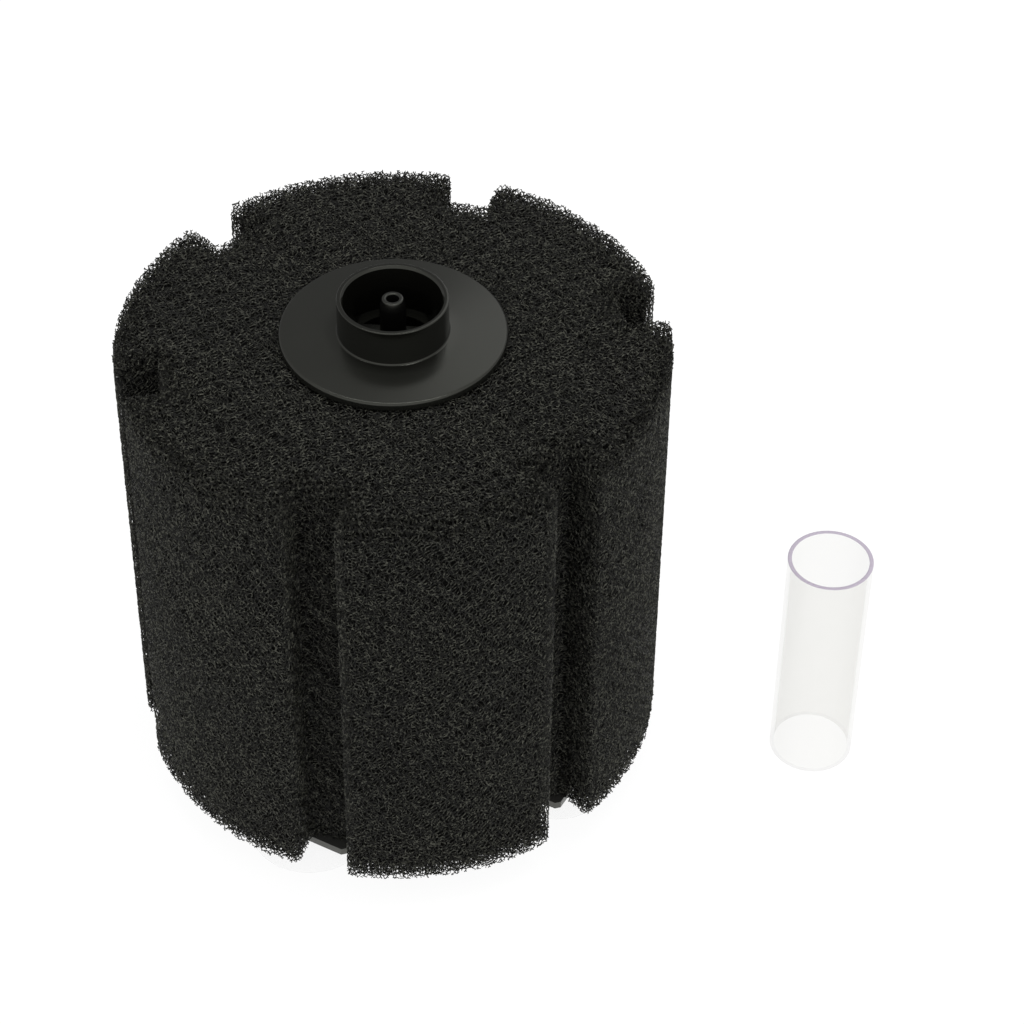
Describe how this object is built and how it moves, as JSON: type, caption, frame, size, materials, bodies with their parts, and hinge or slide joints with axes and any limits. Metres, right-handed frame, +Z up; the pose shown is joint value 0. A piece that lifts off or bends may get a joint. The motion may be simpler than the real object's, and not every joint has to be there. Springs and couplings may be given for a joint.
{
  "type": "sponge filter",
  "caption": "Air-driven aquarium filter: a slotted foam cylinder on a strainer pipe between a flanged collar cap and a suction-cup base, with a loose clear lift tube.",
  "frame": {"origin": "centre of the base on the floor, in the plane of the suction cups' rims", "axes": "+Z up along the strainer pipe, towards the collar; +X towards the loose lift tube, to the right in the usual front view; +Y away from the front"},
  "size_m": [0.173, 0.124, 0.1318],
  "materials": {
    "black_foam": "open-cell reticulated foam, matte",
    "black_plastic": "satin moulded plastic",
    "clear_vinyl": "soft clear vinyl",
    "clear_acrylic": "clear polished tube with cut ends"
  },
  "bodies": {
    "base": {"base_plate": "black_plastic", "suction_cup_1": "clear_vinyl", "suction_cup_2": "clear_vinyl", "suction_cup_3": "clear_vinyl", "suction_cup_4": "clear_vinyl", "strainer_pipe": "black_plastic"},
    "foam": {"sponge": "black_foam"},
    "cap": {"top_cap": "black_plastic"},
    "injector": {"air_injector": "black_plastic", "air_pipe": "black_plastic", "air_diffuser": "black_plastic"},
    "tube": {"lift_tube": "clear_acrylic"}
  },
  "joints": [
    {"name": "sponge_lift", "type": "slide", "parent": "base", "child": "foam", "axis": [0, 0, 1], "range_m": [0, 0.125]},
    {"name": "cap_lift", "type": "slide", "parent": "foam", "child": "cap", "axis": [0, 0, 1], "range_m": [0, 0.04]},
    {"name": "injector_lift", "type": "slide", "parent": "cap", "child": "injector", "axis": [0, 0, 1], "range_m": [0, 0.125]},
    {"name": "tube_lift", "type": "slide", "parent": "base", "child": "tube", "axis": [0, 0, 1], "range_m": [0, 0.1]}
  ]
}
